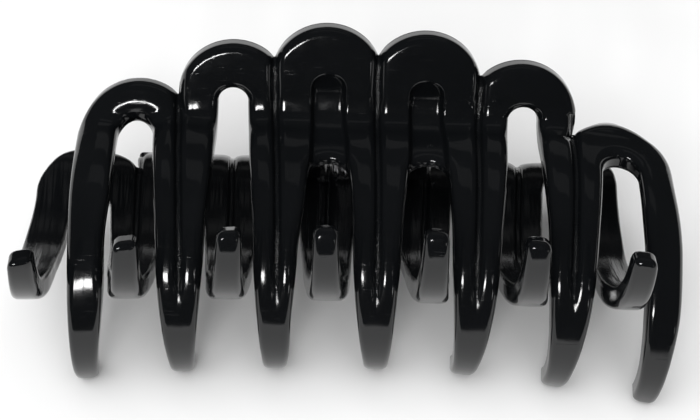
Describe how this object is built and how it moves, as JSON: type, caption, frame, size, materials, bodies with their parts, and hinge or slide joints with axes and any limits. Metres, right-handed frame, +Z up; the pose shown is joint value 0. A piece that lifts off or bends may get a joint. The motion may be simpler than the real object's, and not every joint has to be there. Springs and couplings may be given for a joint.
{
  "type": "claw clip",
  "caption": "Glossy black claw clip for hair: two identical curved jaws of joined hoops with interleaving curled teeth, turning on a steel pin with a torsion spring.",
  "frame": {"origin": "middle of the underside of the closed clip's box, as it lies on its back", "axes": "+X along the clip, +Y towards the finger handles, +Z up from the surface it lies on"},
  "size_m": [0.0992, 0.0438, 0.0398],
  "materials": {
    "jaw_plastic": "high-gloss injection-moulded black plastic",
    "pin_steel": "drawn steel rod, satin",
    "spring_steel": "drawn spring wire, satin"
  },
  "bodies": {
    "lower_half": {"lower_jaw": "jaw_plastic", "hinge_pin": "pin_steel", "torsion_spring": "spring_steel"},
    "upper_half": {"upper_jaw": "jaw_plastic"}
  },
  "joints": [
    {"name": "jaw_hinge", "type": "hinge", "parent": "lower_half", "child": "upper_half", "pos_m": [0, 0.01039, 0.01992], "axis": [-1, 0, 0], "range_deg": [0, 95], "stiffness_Nm_per_rad": 0.06, "springref_deg": -51.57, "deforming": ["torsion_spring"]}
  ]
}
